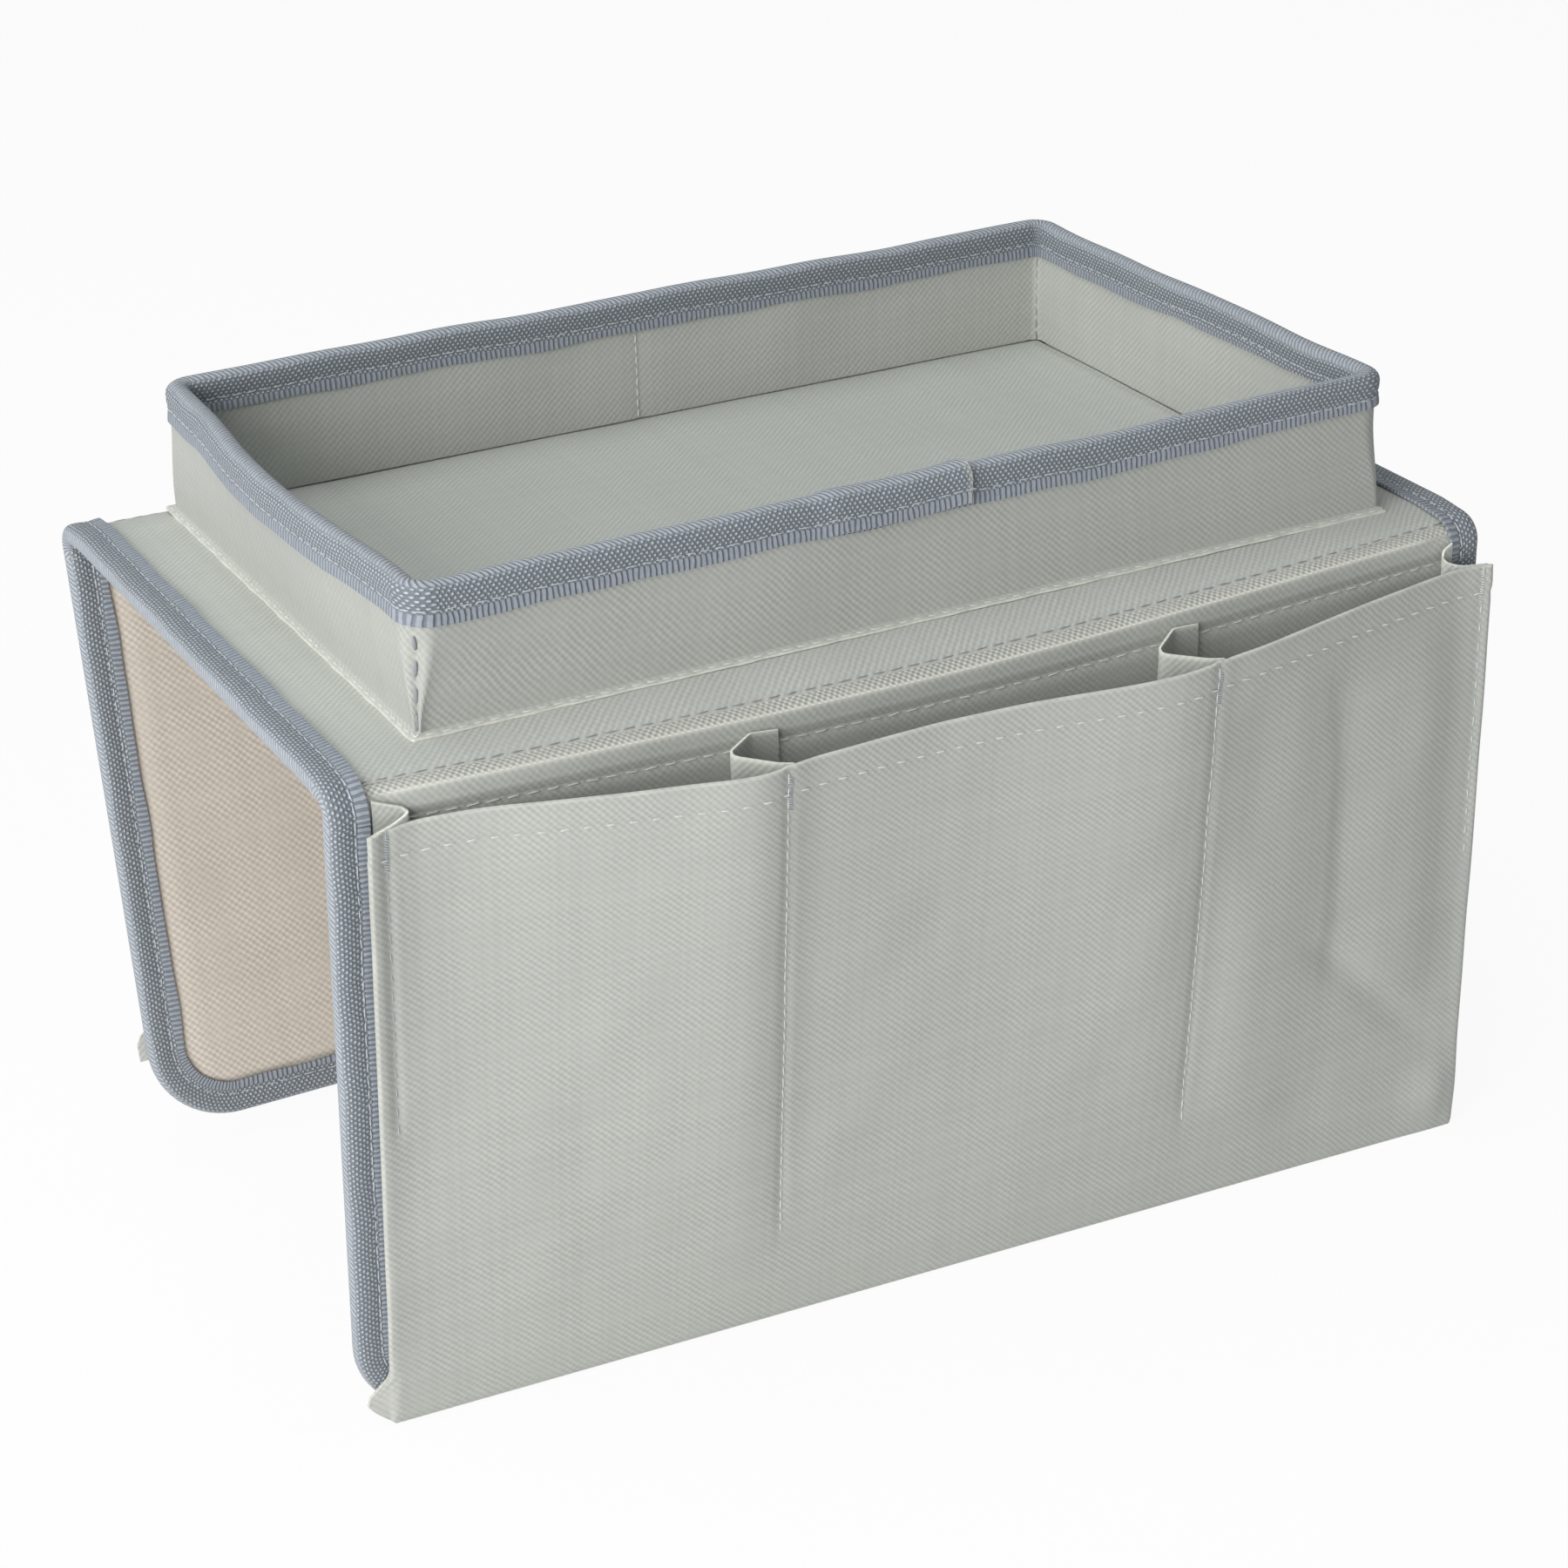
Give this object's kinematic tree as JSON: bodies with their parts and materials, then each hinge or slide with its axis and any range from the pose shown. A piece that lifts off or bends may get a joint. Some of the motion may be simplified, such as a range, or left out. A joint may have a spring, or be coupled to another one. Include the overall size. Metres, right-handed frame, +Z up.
{
  "type": "armrest organizer",
  "caption": "Cloth armrest organizer: a boarded saddle that hangs over a sofa arm, with an open tray on top and gusseted pockets on its hanging flaps.",
  "frame": {"origin": "middle of the saddle's underside, where it rests on the armrest", "axes": "+X along the armrest, +Y towards the rear flap, +Z up"},
  "size_m": [0.3122, 0.2238, 0.2118],
  "materials": {
    "sage_cloth": "coated twill, sage grey-green",
    "lining_cloth": "beige twill",
    "binding_tape": "woven binding tape, blue-grey",
    "board": "plain stiffening sheet"
  },
  "bodies": {
    "saddle": {"top_cover": "sage_cloth", "top_board": "board", "top_lining": "lining_cloth", "top_binding_left": "binding_tape", "top_binding_right": "binding_tape", "tray_outer_band": "sage_cloth", "tray_inner_band": "sage_cloth", "tray_board_front": "board", "tray_board_rear": "board", "tray_board_left": "board", "tray_board_right": "board", "tray_floor": "sage_cloth", "tray_rim_binding": "binding_tape", "front_fold_cover": "sage_cloth", "front_fold_lining": "lining_cloth", "front_fold_tape_left": "binding_tape", "front_fold_tape_right": "binding_tape", "rear_fold_cover": "sage_cloth", "rear_fold_lining": "lining_cloth", "rear_fold_tape_left": "binding_tape", "rear_fold_tape_right": "binding_tape"},
    "front_flap": {"front_cover": "sage_cloth", "front_board": "board", "front_lining": "lining_cloth", "front_binding": "binding_tape", "front_gusset_left": "sage_cloth", "front_gusset_one": "sage_cloth", "front_gusset_two": "sage_cloth", "front_gusset_right": "sage_cloth"},
    "front_pocket": {"front_pocket_panel": "sage_cloth"},
    "rear_flap": {"rear_cover": "sage_cloth", "rear_board": "board", "rear_lining": "lining_cloth", "rear_binding": "binding_tape", "rear_gusset_left": "sage_cloth", "rear_gusset_one": "sage_cloth", "rear_gusset_two": "sage_cloth", "rear_gusset_right": "sage_cloth"},
    "rear_pocket": {"rear_pocket_panel": "sage_cloth"}
  },
  "joints": [
    {"name": "front_flap_fold", "type": "hinge", "parent": "saddle", "child": "front_flap", "pos_m": [0, -0.087, -0.0011], "axis": [1, 0, 0], "range_deg": [-90, 22], "deforming": ["front_fold_cover", "front_fold_lining", "front_fold_tape_left", "front_fold_tape_right"]},
    {"name": "front_pocket_tip", "type": "hinge", "parent": "front_flap", "child": "front_pocket", "pos_m": [0, -0.08955, -0.16961], "axis": [1, 0, 0], "range_deg": [0, 6], "deforming": ["front_gusset_left", "front_gusset_one", "front_gusset_two", "front_gusset_right"]},
    {"name": "rear_flap_fold", "type": "hinge", "parent": "saddle", "child": "rear_flap", "pos_m": [0, 0.087, -0.0011], "axis": [-1, 0, 0], "range_deg": [-98, 14], "deforming": ["rear_fold_cover", "rear_fold_lining", "rear_fold_tape_left", "rear_fold_tape_right"]},
    {"name": "rear_pocket_tip", "type": "hinge", "parent": "rear_flap", "child": "rear_pocket", "pos_m": [0, 0.07043, -0.14495], "axis": [-1, 0, 0], "range_deg": [0, 6], "deforming": ["rear_gusset_left", "rear_gusset_one", "rear_gusset_two", "rear_gusset_right"]}
  ]
}
